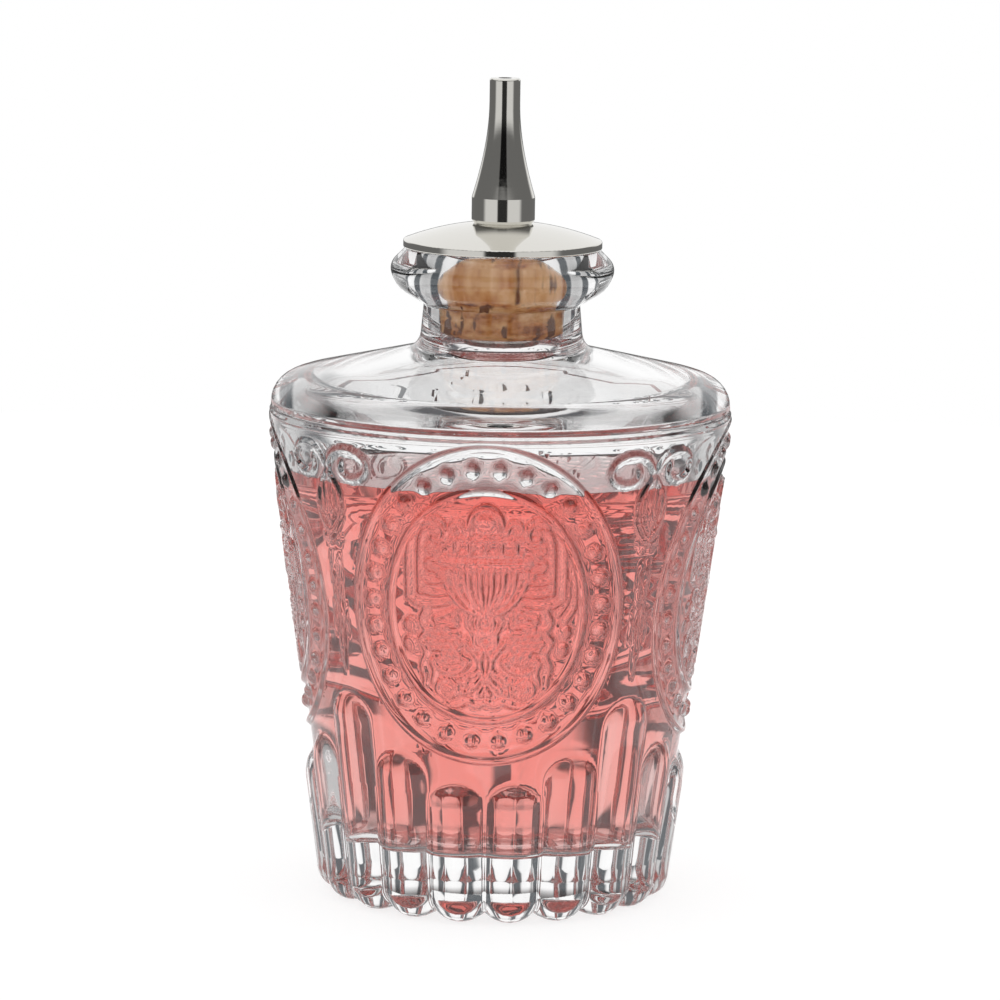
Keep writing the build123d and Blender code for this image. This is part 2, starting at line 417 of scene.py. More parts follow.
@dataclass(frozen=True)
class PolishedSteel:
    """Turned stainless steel, buffed to a mirror with a slightly warm tone and a trace of turning marks."""

    colour: str = "#dddbd5"
    mark_mm: float = 0.35
    mark_depth_mm: float = 0.05
    mark_strength: float = 0.02
    haze_mm: float = 6.0
    roughness: tuple[float, float] = (0.05, 0.1)

    def material(self) -> Material:
        """Returns the steel, its roughness slightly uneven and its turning marks level rings."""
        material, tree = new_material("polished_steel")
        place = add_node(tree, "TexCoord").outputs["Object"]
        level = add_node(tree, "Mapping", None, {"Vector": place, "Scale": (0.02, 0.02, 1.0)})
        marks = add_node(tree, "TexNoise", None, {
            "Vector": level.outputs[0], "Scale": 1 / (self.mark_mm * MM), "Detail": 1.0,
        })
        haze = add_node(tree, "TexNoise", None, {
            "Vector": place, "Scale": 1 / (self.haze_mm * MM), "Detail": 3.0,
        })
        polish = add_node(tree, "MapRange", None, (haze.outputs[0], 0.0, 1.0, *self.roughness))
        bump = add_node(tree, "Bump", None, {
            "Height": marks.outputs[0], "Strength": self.mark_strength, "Distance": self.mark_depth_mm * MM,
        })
        steel = add_node(tree, "BsdfPrincipled", None, {
            "Base Color": linear(self.colour),
            "Metallic": 1.0,
            "Roughness": polish.outputs[0],
            "Normal": bump.outputs[0],
        })
        add_node(tree, "OutputMaterial", None, {"Surface": steel.outputs[0]})
        return material


# ---- Relief drawn with strokes and spots --------------------------------------------------
@dataclass(frozen=True)
class Stroke:
    """A raised rounded line through a few places, in millimetres."""

    places: tuple[tuple[float, float], ...]
    half: float = 0.55
    proud: float = 0.6
    straight: bool = False

    def path(self) -> np.ndarray:
        """Returns the smooth line through the places: cubics that take their slopes from the neighbours."""
        places = np.array(self.places)
        if self.straight:
            return places
        ends = (2 * places[:1] - places[1:2], 2 * places[-1:] - places[-2:-1])
        if np.allclose(places[0], places[-1]):
            ends = (places[-2:-1], places[1:2])
        run = np.concatenate((ends[0], places, ends[1]))
        share = np.linspace(0, 1, 6)[:-1, None, None]
        before, start, stop, after = run[:-3], run[1:-2], run[2:-1], run[3:]
        curve = 0.5 * (
            2 * start
            + (stop - before) * share
            + (2 * before - 5 * start + 4 * stop - after) * share ** 2
            + (3 * start - 3 * stop + after - before) * share ** 3
        )
        return np.concatenate((curve.swapaxes(0, 1).reshape(-1, 2), places[-1:]))

    def height(self, at: np.ndarray) -> np.ndarray:
        """Returns the height at each place: a hump of a cosine over the distance to the line."""
        path = self.path()
        start, along = path[:-1], np.diff(path, axis=0)
        away = at[:, None] - start[None]
        length = np.maximum((along ** 2).sum(-1), 1e-9)
        share = np.clip((away * along).sum(-1) / length, 0, 1)
        distance = np.linalg.norm(away - share[..., None] * along, axis=-1).min(1)
        return self.proud * np.cos(np.clip(distance / self.half, 0, 1) * pi / 2)


@dataclass(frozen=True)
class Spot:
    """A raised round or oval dome, in millimetres."""

    across: float
    up: float
    half_width: float
    half_height: float
    proud: float = 0.45

    def height(self, at: np.ndarray) -> np.ndarray:
        """Returns the height at each place: the cap of a ball stretched to the oval."""
        right, rise = (at[:, 0] - self.across) / self.half_width, (at[:, 1] - self.up) / self.half_height
        apart = right ** 2 + rise ** 2
        return self.proud * np.sqrt(np.clip(1 - apart, 0, 1))


def oval_stroke(across: float, up: float, half_width: float, half_height: float, **sizes: float) -> Stroke:
    """Draws a raised oval line.

    Args:
        across: Its centre.
        up: Its centre.
        half_width: To the middle of the line.
        half_height: To the middle of the line.
        sizes: The stroke's own half width and height.

    Returns:
        The closed stroke.
    """
    turns = [pi / 4 * step for step in range(9)]
    places = tuple((across + half_width * cos(turn), up + half_height * sin(turn)) for turn in turns)
    return Stroke(places, **sizes)


def tallest(shapes: Sequence[Stroke | Spot], across: np.ndarray, up: np.ndarray) -> np.ndarray:
    """Lays strokes and spots over each other and keeps the tallest at each place.

    Args:
        shapes: The strokes and spots.
        across: Places, in millimetres.
        up: Places, of the same shape.

    Returns:
        Heights of the same shape.
    """
    at = np.stack((across, up), -1).reshape(-1, 2)
    height = np.zeros(len(at))
    for shape in shapes:
        height = np.maximum(height, shape.height(at))
    return height.reshape(across.shape)


@dataclass(frozen=True)
class UrnRelief:
    """A footed urn with two scrolled handles over vine leaves, grapes and fruit, the same on both sides but
    for a few leaves. Places are from the middle of the medallion."""

    grape_radius: float = 0.62
    grape_spacing: float = 1.12
    bells: tuple[tuple[float, float], ...] = (
        (2.7, -10.7), (3.6, -11.2), (2.9, -11.7), (2.2, -12.7), (3.1, -13.0), (0.0, -12.4), (0.5, -13.2),
    )

    def lid(self) -> list[Stroke | Spot]:
        """Returns the finial, the lid with its little arcade, and the rim."""
        return [
            Stroke(((2.35, 10.7), (2.35, 12.2), (1.7, 13.9), (0.0, 14.6), (-1.7, 13.9))),
            Spot(0.0, 12.3, 1.5, 1.4, 0.5),
            Stroke(((2.9, 11.0), (3.5, 12.2), (4.6, 12.4), (5.2, 11.5), (4.4, 11.0)), 0.48),
            Stroke(((-1.0, 10.0), (5.2, 10.0)), 0.55, straight=True),
            Stroke(((0.0, 9.6), (0.0, 7.9)), 0.52, straight=True),
            Stroke(((2.15, 9.6), (2.15, 7.9)), 0.52, straight=True),
            Stroke(((4.3, 9.6), (4.3, 7.9)), 0.52, straight=True),
            Stroke(((-1.0, 7.75), (5.2, 7.75)), 0.46, straight=True),
            Stroke(((-1.0, 6.5), (5.6, 6.5)), 0.85, 0.75, straight=True),
            Spot(6.1, 6.6, 0.85, 0.95, 0.5),
        ]

    def bowl(self) -> list[Stroke | Spot]:
        """Returns the fluted bowl, its flutes drawn in to the foot."""
        return [
            Stroke(((5.9, 5.3), (5.6, 3.4), (4.4, 1.2), (2.9, -0.3), (1.7, -0.9)), 0.65, 0.75),
            Stroke(((0.85, 5.3), (0.8, 2.5), (0.35, -0.6))),
            Stroke(((2.55, 5.3), (2.3, 2.2), (0.95, -0.6))),
            Stroke(((4.2, 5.3), (3.7, 2.2), (1.6, -0.5))),
            Stroke(((-0.85, 5.3), (0.0, 5.85), (0.85, 5.3))),
            Stroke(((0.85, 5.3), (1.7, 5.85), (2.55, 5.3))),
            Stroke(((2.55, 5.3), (3.4, 5.8), (4.2, 5.3))),
            Stroke(((4.2, 5.3), (5.0, 5.7), (5.9, 5.3))),
            Stroke(((-1.0, -1.1), (0.0, -1.15), (1.0, -1.1), (1.8, -0.9))),
        ]

    def stem(self) -> list[Stroke | Spot]:
        """Returns the round and oval bosses, the spread arms and the long bud below them."""
        return [
            oval_stroke(0.0, -2.5, 1.15, 1.15, half=0.5),
            Spot(0.0, -2.5, 0.6, 0.6, 0.55),
            Stroke(((1.8, -0.9), (2.2, -2.3), (1.6, -3.7), (0.9, -4.0)), 0.5),
            oval_stroke(0.0, -4.85, 0.95, 0.6, half=0.5),
            Stroke(((2.9, -5.2), (1.9, -6.4), (0.95, -7.8))),
            Stroke(((1.5, -4.4), (1.5, -5.6), (0.6, -6.4)), 0.48),
            Stroke(((0.0, -6.0), (0.8, -7.8), (0.6, -9.6), (0.0, -11.2)), 0.5),
            Stroke(((0.7, -9.4), (1.6, -10.2), (2.4, -10.4)), 0.46),
            Stroke(((0.4, -10.6), (1.3, -11.8), (2.0, -12.2)), 0.46),
        ]

    def handle(self) -> list[Stroke | Spot]:
        """Returns one scrolled handle, its scalloped inner side and the two bars that carry it."""
        return [
            Stroke((
                (11.3, 1.0), (11.4, 6.0), (11.2, 10.0), (10.2, 12.0), (8.4, 12.7),
                (6.7, 12.2), (5.9, 10.8), (6.5, 9.7), (7.6, 9.9),
            ), 0.65, 0.75),
            Stroke(((9.6, 1.9), (9.7, 6.0), (9.5, 10.0), (8.6, 11.2), (7.4, 11.3)), 0.55),
            Stroke((
                (8.3, 9.0), (8.5, 8.2), (7.3, 7.8), (7.6, 6.9),
                (8.6, 6.4), (8.1, 5.4), (7.0, 5.3), (6.7, 4.4),
            ), 0.5),
            Stroke(((9.5, 3.9), (7.6, 3.5), (6.2, 3.9)), 0.55),
            Stroke(((9.5, 2.2), (7.6, 1.7), (5.6, 2.0)), 0.55),
            Stroke(((11.3, 1.0), (9.8, 0.1), (7.4, 0.1), (5.6, 0.5)), 0.55),
        ]

    def leaves(self) -> list[Stroke | Spot]:
        """Returns the pointed leaf, the curved leaf and the uneven outline that holds the lower half
        together."""
        return [
            Stroke(((4.3, -0.5), (7.4, -2.0), (6.9, -2.9), (4.4, -3.0), (4.3, -0.5)), 0.46, straight=True),
            Spot(5.4, -1.9, 0.9, 0.6, 0.3),
            Stroke((
                (8.7, -0.6), (9.4, -2.4), (8.7, -4.0), (9.5, -5.4), (8.6, -7.2), (9.2, -9.2), (8.7, -11.2),
                (8.9, -12.6),
            ), 0.55),
            Stroke((
                (2.5, -8.1), (3.4, -9.5), (5.3, -10.0), (7.2, -9.1), (7.4, -7.9), (5.6, -8.5), (3.8, -8.2),
                (2.5, -8.1),
            ), 0.5),
            Stroke(((7.9, -8.4), (7.3, -10.0), (7.7, -11.6)), 0.48),
        ]

    def fruit(self) -> list[Stroke | Spot]:
        """Returns the grapes, packed in threes inside a leaning oval, the round fruit, the bells and the
        lower edge."""
        steps = np.arange(-4, 5)
        row, place = [grid.ravel() for grid in np.meshgrid(steps, steps)]
        across = (place + 0.5 * (row % 2)) * self.grape_spacing
        up = row * self.grape_spacing * sin(pi / 3)
        leaning = (0.8 * across + 0.6 * up, 0.8 * up - 0.6 * across)
        held = (leaning[0] / 3.1) ** 2 + (leaning[1] / 1.9) ** 2 < 1
        grapes = [
            Spot(5.9 + right, -5.5 + rise, self.grape_radius, self.grape_radius, 0.7)
            for right, rise in zip(across[held], up[held])
        ]
        bells = [
            Spot(right, rise, 0.55, 0.5, 0.62)
            for right, rise in self.bells
        ]
        return grapes + bells + [
            oval_stroke(5.5, -12.4, 1.45, 1.35, half=0.5),
            Spot(5.5, -12.4, 1.1, 1.0, 0.62),
            Stroke(((-1.2, -14.7), (0.0, -14.4), (1.2, -14.9), (2.5, -14.4), (3.8, -14.8), (5.6, -15.0),
                    (7.3, -14.2), (8.9, -12.6)), 0.55),
        ]

    def one_sided(self) -> list[Stroke | Spot]:
        """Returns what the two sides don't share: two berries on one side, long leaves and a bud on the
        other."""
        return [
            Spot(-11.0, -3.2, 1.3, 1.2, 0.5),
            Spot(-11.0, -6.0, 1.3, 1.4, 0.5),
            Stroke(((10.9, 10.6), (12.3, 7.2), (13.0, 3.6), (12.9, 0.0), (11.6, -2.2)), 0.55),
            Stroke(((12.1, 3.8), (12.0, 1.0), (10.6, -1.2)), 0.48),
            Spot(11.7, -4.0, 0.9, 1.1, 0.62),
            Spot(11.2, -6.6, 0.9, 1.1, 0.55),
        ]

    def height(self, across: np.ndarray, up: np.ndarray) -> np.ndarray:
        """Returns the relief over the cone at each place, in millimetres."""
        mirrored = self.lid() + self.bowl() + self.stem() + self.handle() + self.leaves() + self.fruit()
        both = tallest(mirrored, np.abs(across), up)
        return np.maximum(both, tallest(self.one_sided(), across, up))


@dataclass(frozen=True)
class CornerRelief:
    """What fills the space between two medallions: a pair of scrolls, a pair of pointed leaves and a thin
    tassel.

    Places are across from the line between the medallions, and up from the standing plane.
    """

    scroll_across: float = 4.7
    scroll_up: float = 67.7
    scroll_wide: float = 4.3
    scroll_tall: float = 2.9
    scroll_places: int = 13
    scroll_start: float = 178.0
    scroll_step: float = 32.0
    scroll_drawn_in: float = 0.05

    def scroll(self) -> Stroke:
        """Returns an oval spiral that leaves the middle over its own top and winds inwards for a little
        over a turn."""
        places = []
        for step in range(self.scroll_places):
            turn = radians(self.scroll_start - self.scroll_step * step)
            reach = 1 - self.scroll_drawn_in * step
            places.append((
                self.scroll_across + self.scroll_wide * reach * cos(turn),
                self.scroll_up + self.scroll_tall * reach * sin(turn),
            ))
        return Stroke(tuple(places), 0.5, 0.5)

    def leaves(self) -> list[Stroke | Spot]:
        """Returns one of the two pointed leaves, with its rib."""
        return [
            Stroke(((0.3, 66.6), (2.2, 63.6), (2.2, 60.4), (0.0, 57.0)), 0.48, 0.5),
            Stroke(((1.0, 64.4), (1.1, 61.8), (0.6, 59.6)), 0.42, 0.4),
            Stroke(((0.3, 66.6), (0.2, 63.6), (0.2, 60.0), (0.0, 57.0)), 0.36, 0.35),
        ]

    def tassel(self) -> list[Stroke | Spot]:
        """Returns the marks that hang below the leaves: small arcs, a flower, thin lines and a drop."""
        arcs = [
            Stroke(((-0.4, high - 0.5), (0.4, high - 0.5), (wide, high)), 0.34, 0.32)
            for wide, high in ((1.9, 56.9), (1.6, 53.8), (1.1, 51.7))
        ]
        petals = [
            Spot(0.75 * cos(turn), 49.2 + 0.75 * sin(turn), 0.5, 0.5, 0.35) for turn in (0.8, 2.4, 3.9, 5.5)
        ]
        return arcs + petals + [
            Stroke(((0.45, 47.2), (0.55, 43.5), (0.2, 39.6)), 0.3, 0.32),
            Stroke(((1.3, 46.4), (1.2, 44.6), (1.4, 42.8)), 0.3, 0.28),
            Spot(0.0, 38.2, 0.5, 0.7, 0.35),
        ]

    def height(self, across: np.ndarray, up: np.ndarray) -> np.ndarray:
        """Returns the relief over the cone at each place, in millimetres."""
        return tallest([self.scroll()] + self.leaves() + self.tassel(), np.abs(across), up)


# ---- Glass --------------------------------------------------------------------------------
@dataclass
class GlassForm:
    """Sizes of the pressed bottle, in millimetres, and the plain surfaces that they give."""

    base_radius: float = 24.5
    taper: float = radians(7.71)
    edge_height: float = 72.8
    edge_step: float = 0.2
    shoulder_height: float = 77.2
    shoulder_fall: float = radians(13.0)
    corner_round: float = 4.2
    neck_root_radius: float = 12.2
    neck_radius: float = 11.6
    neck_height: float = 6.4
    wall: float = 3.8
    shoulder_wall: float = 3.7
    floor_height: float = 9.5
    floor_round: float = 5.5
    bore_radius: float = 9.3
    mouth_radius: float = 9.7
    cork_length: float = 13.0
    liquid_height: float = 64.2
    rim_height: float = field(init=False)

    def __post_init__(self) -> None:
        """Takes the rim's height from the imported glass, which it has to meet."""
        self.rim_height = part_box("glass_bottle")[1].z / MM

    def cone(self, height: np.ndarray | float) -> np.ndarray | float:
        """Returns the radius of the plain outer cone at a height."""
        return self.base_radius + height * tan(self.taper)

    @property
    def band_radius(self) -> float:
        """Returns the radius of the upright band above the mould line."""
        return self.cone(self.edge_height) - self.edge_step

    @property
    def neck_root_height(self) -> float:
        """Returns the height where the shoulder meets the neck."""
        return self.shoulder_height + (self.band_radius - self.neck_root_radius) * tan(self.shoulder_fall)

    def upper_outline(self) -> np.ndarray:
        """Returns the outline from above the mould line over the shoulder, neck and lip to the mouth."""
        neck_top = self.neck_root_height + self.neck_height
        rim = self.rim_height
        return outline([
            Corner(self.band_radius, self.edge_height + 1.2),
            Corner(self.band_radius, self.shoulder_height, self.corner_round),
            Corner(self.neck_root_radius, self.neck_root_height, 2.8),
            Corner(self.neck_radius, neck_top, 0.4),
            Corner(15.6, neck_top + 2.45, 4.2),
            Corner(17.0, rim - 2.7, 2.2),
            Corner(14.3, rim, 0.6),
            Corner(self.mouth_radius + 0.3, rim),
        ], longest=5.0)

    def inner_outline(self, swell: float = 0.0) -> np.ndarray:
        """Follows the inside of the glass from the mouth down to the middle of the floor.

        Args:
            swell: How far outside that surface to run, in millimetres.

        Returns:
            Rows of radius and height.
        """
        inner_base = self.base_radius - self.wall + swell
        ceiling = self.shoulder_height - self.shoulder_wall + swell
        slope, fall = tan(self.taper), tan(self.shoulder_fall)
        corner_height = (ceiling + (self.band_radius - inner_base) * fall) / (1 + slope * fall)
        bore = self.bore_radius + swell
        floor = self.floor_height - swell
        return outline([
            Corner(self.mouth_radius + swell, self.rim_height - 0.3),
            Corner(bore, self.rim_height - self.cork_length),
            Corner(bore, ceiling + (self.band_radius - bore) * fall, 2.0),
            Corner(inner_base + corner_height * slope, corner_height, self.corner_round),
            Corner(inner_base + floor * slope, floor, self.floor_round),
            Corner(0.0, floor),
        ], longest=6.0, arc_pieces=12)


@dataclass
class Gadroons:
    """The foot's round-backed ribs, in three heights, with domed tops and rounded toes."""

    form: GlassForm
    count: int = 20
    tops: tuple[float, ...] = (33.2, 25.5, 21.5, 21.5, 25.5)
    proud: float = 1.7
    radius: float = 5.45
    toe_round: float = 3.6
    scallop: float = 1.25
    crease: float = 0.1

    @property
    def pitch(self) -> float:
        """Returns the angle from one rib to the next, in degrees."""
        return 360 / self.count

    def surface(self, angle: np.ndarray, height: np.ndarray) -> np.ndarray:
        """Works out the outer radius of the body: the plain cone, or the rib in front of it.

        A rib is a rod sunk into the cone and leaning with it, with a ball at its top. The radius is the far
        root of the quadratic for a level line from the axis to the rod, or to the ball above the rod's end.
        A smooth maximum joins rib and cone.

        Args:
            angle: Degrees from the middle of a tall rib.
            height: Millimetres above the standing plane, of the same shape.

        Returns:
            Radii in millimetres.
        """
        lean = self.form.taper
        number = np.round(angle / self.pitch).astype(int)
        aside = np.radians(angle - number * self.pitch)
        top = np.array(self.tops)[number % len(self.tops)]
        sunk = self.radius - self.proud
        cone = self.form.cone(height)
        axis = cone - sunk / cos(lean)
        square = (cos(lean) * np.cos(aside)) ** 2 + np.sin(aside) ** 2
        half = axis * cos(lean) ** 2 * np.cos(aside)
        inside = half ** 2 - square * ((axis * cos(lean)) ** 2 - self.radius ** 2)
        rod = np.where(inside > 0, (half + np.sqrt(np.maximum(inside, 0))) / square, 0)
        reach = top / cos(lean) - sqrt(self.radius ** 2 - sunk ** 2)
        end_radius = self.form.base_radius - sunk * cos(lean) + reach * sin(lean)
        end_height = sunk * sin(lean) + reach * cos(lean)
        inside = self.radius ** 2 - (height - end_height) ** 2 - (end_radius * np.sin(aside)) ** 2
        ball = np.where(inside > 0, end_radius * np.cos(aside) + np.sqrt(np.maximum(inside, 0)), 0)
        beyond = (rod * np.cos(aside) - end_radius) * sin(lean) + (height - end_height) * cos(lean)
        rib = np.where(beyond > 0, ball, rod)
        return (cone + rib + np.sqrt((cone - rib) ** 2 + self.crease ** 2)) / 2

    def toe_height(self, angle: np.ndarray) -> np.ndarray:
        """Returns how far each toe's round bottom is off the standing plane, from the angle in degrees."""
        aside = np.radians((angle + self.pitch / 2) % self.pitch - self.pitch / 2)
        across = self.form.base_radius * np.sin(aside)
        widest = self.form.base_radius * sin(radians(self.pitch / 2))
        ball = (widest ** 2 + self.scallop ** 2) / (2 * self.scallop)
        return ball - np.sqrt(ball ** 2 - across ** 2)


@dataclass
class Medallion:
    """One oval medallion: two raised rings, a ring of beads between them and an urn in the middle.

    Places are (across, up) from its centre, in millimetres along the glass.
    """

    form: GlassForm
    height: float = 48.5
    inner_ring: tuple[float, float] = (14.4, 17.2)
    outer_ring: tuple[float, float] = (20.4, 23.35)
    ridge_half: float = 0.72
    ridge_power: float = 1.3
    ridge_rows: int = 7
    proud_low: float = 0.65
    proud_high: float = 0.25
    bead_oval: float = 3.13
    bead_band: tuple[float, float] = (2.0, 4.26)
    bead_rows: int = 8
    bead_count: int = 30
    bead_radius: float = 1.0
    bead_over_ridge: float = 0.3
    bead_skew: float = 0.035
    bead_columns: int = 9
    bead_pinch: float = 0.6
    disc_edge: float = -0.8
    patch_edge: float = 6.78

    def oval(self, out: np.ndarray | float) -> tuple[np.ndarray | float, np.ndarray | float]:
        """Returns the half width and half height of the oval that lies this far outside the inner ring."""
        across = self.outer_ring[0] - self.inner_ring[0]
        upright = (self.outer_ring[1] - self.inner_ring[1]) / across
        return self.inner_ring[0] + out, self.inner_ring[1] + out * upright

    def inside(self, across: np.ndarray, up: np.ndarray, out: float) -> np.ndarray:
        """Returns which places lie inside the oval that is this far outside the inner ring."""
        half_width, half_height = self.oval(out)
        return (across / half_width) ** 2 + (up / half_height) ** 2 < 1

    def proud(self, up: np.ndarray) -> np.ndarray:
        """Returns how far the rings stand over the cone, which fades evenly from the medallion's foot to
        its top."""
        share = (up + self.outer_ring[1]) / (2 * self.outer_ring[1])
        return self.proud_low + (self.proud_high - self.proud_low) * share

    def ridge(self, distance: np.ndarray) -> np.ndarray:
        """Returns a ring's share of its height at a distance from its crest: a hump of a cosine, squared
        off."""
        share = np.clip(np.abs(distance) / self.ridge_half, 0, 1)
        return np.cos(share * pi / 2) ** self.ridge_power

    def bead_places(self) -> np.ndarray:
        """Returns the beads' centres, spaced evenly round the middle oval and a little closer at its
        ends."""
        turn = np.radians(90 - (np.arange(self.bead_count) + 0.5) * 360 / self.bead_count)
        turn = turn - self.bead_skew * np.sin(2 * turn)
        half_width, half_height = self.oval(self.bead_oval)
        return np.stack((half_width * np.cos(turn), half_height * np.sin(turn)), -1)

    def ring_turns(self) -> np.ndarray:
        """Returns the rings' columns in degrees, closer together at each bead and skewed as the beads
        are."""
        columns = self.bead_count * self.bead_columns
        turn = np.radians(np.arange(columns) * 360 / columns)
        turn = turn - self.bead_pinch * np.sin(self.bead_count * turn) / self.bead_count
        return np.degrees(turn - self.bead_skew * np.sin(2 * turn))

    def beads(self, places: np.ndarray) -> np.ndarray:
        """Returns the height of the round beads at each place: the cap of a ball over each centre."""
        apart = np.linalg.norm(places[:, None] - self.bead_places()[None], axis=-1).min(1)
        proud = self.proud(places[:, 1]) + self.bead_over_ridge
        return proud * np.sqrt(np.clip(1 - (apart / self.bead_radius) ** 2, 0, 1))

    def rings(self, turns: np.ndarray, outs: np.ndarray) -> tuple[np.ndarray, np.ndarray, np.ndarray]:
        """Works out the grid of ovals from the edge of the urn's disc to past the outer ring.

        Args:
            turns: Angle of each column, in degrees.
            outs: How far each oval lies outside the inner ring.

        Returns:
            Across, up and height over the cone, each with a row for every oval.
        """
        half_width, half_height = self.oval(outs[:, None])
        turn = np.radians(turns)[None]
        across, up = half_width * np.cos(turn), half_height * np.sin(turn)
        gap = self.outer_ring[0] - self.inner_ring[0]
        rise = (self.ridge(outs) + self.ridge(outs - gap))[:, None] * self.proud(up)
        places = np.stack((across, up), -1).reshape(-1, 2)
        return across, up, rise + self.beads(places).reshape(across.shape)

    def disc(self, count: int) -> tuple[np.ndarray, np.ndarray, np.ndarray]:
        """Works out the square grid that fills the urn's disc.

        A square is drawn onto a circle so that each smaller square becomes a smaller circle: the larger of
        its two coordinates is the circle's radius, and their ratio its angle. The circle is then stretched
        to the oval.

        Args:
            count: Cells along each side.

        Returns:
            Across, up and height over the cone.
        """
        side = np.linspace(-1, 1, count + 1)
        right, up = np.meshgrid(side, side)
        sideways = np.abs(right) > np.abs(up)
        reach = np.where(sideways, right, up)
        with np.errstate(divide="ignore", invalid="ignore"):
            wide = pi / 4 * np.nan_to_num(up / right)
            tall = pi / 2 - pi / 4 * np.nan_to_num(right / up)
        turn = np.where(sideways, wide, tall)
        half_width, half_height = self.oval(self.disc_edge)
        across, rise = half_width * reach * np.cos(turn), half_height * reach * np.sin(turn)
        return across, rise, UrnRelief().height(across, rise)

    def patch(self, skin: Skin, number: int, count: int) -> tuple[np.ndarray, np.ndarray]:
        """Builds the medallion on the skin as far as its outer oval.

        Args:
            skin: Skin that takes it.
            number: Quarter turn that it faces, from 0 for the front.
            count: Cells along each side of the urn's disc.

        Returns:
            The outer oval's point numbers and their angles, in degrees from 0.
        """
        across, up, rise = self.disc(count)
        disc = skin.add(self.on_glass(across, up, rise, number))
        self.faces_of(skin, disc)
        edge = np.concatenate((disc[:-1, -1], disc[-1, :0:-1], disc[:0:-1, 0], disc[0, :-1]))
        edge = np.roll(edge, -count // 2)
        turns = self.ring_turns()
        ridge = np.linspace(-1, 1, self.ridge_rows) * self.ridge_half
        gap = self.outer_ring[0] - self.inner_ring[0]
        between = np.linspace(*self.bead_band, self.bead_rows)
        outs = np.concatenate((ridge, between, gap + ridge, [self.patch_edge]))
        across, up, rise = self.rings(turns, outs)
        rings = skin.add(self.on_glass(across, up, rise, number))
        skin.zip(edge, np.arange(4 * count) * QUARTER / count, rings[0], turns)
        skin.band(rings[::-1])
        return rings[-1], turns

    def faces_of(self, skin: Skin, grid: np.ndarray) -> None:
        """Adds the cells of an open grid, rows upwards and columns to the right."""
        corners = (grid[:-1, :-1], grid[:-1, 1:], grid[1:, 1:], grid[1:, :-1])
        skin.faces.append(np.stack(corners, -1).reshape(-1, 4))

    def on_glass(self, across: np.ndarray, up: np.ndarray, rise: np.ndarray, number: int) -> np.ndarray:
        """Wraps places in the medallion round the cone, raised by rise, and turns them to their side."""
        height = self.height + up
        radius = self.form.cone(height)
        angle = across / radius + radians(QUARTER * (number - 1))
        out = radius + rise
        return np.stack((out * np.cos(angle), out * np.sin(angle), height), -1)


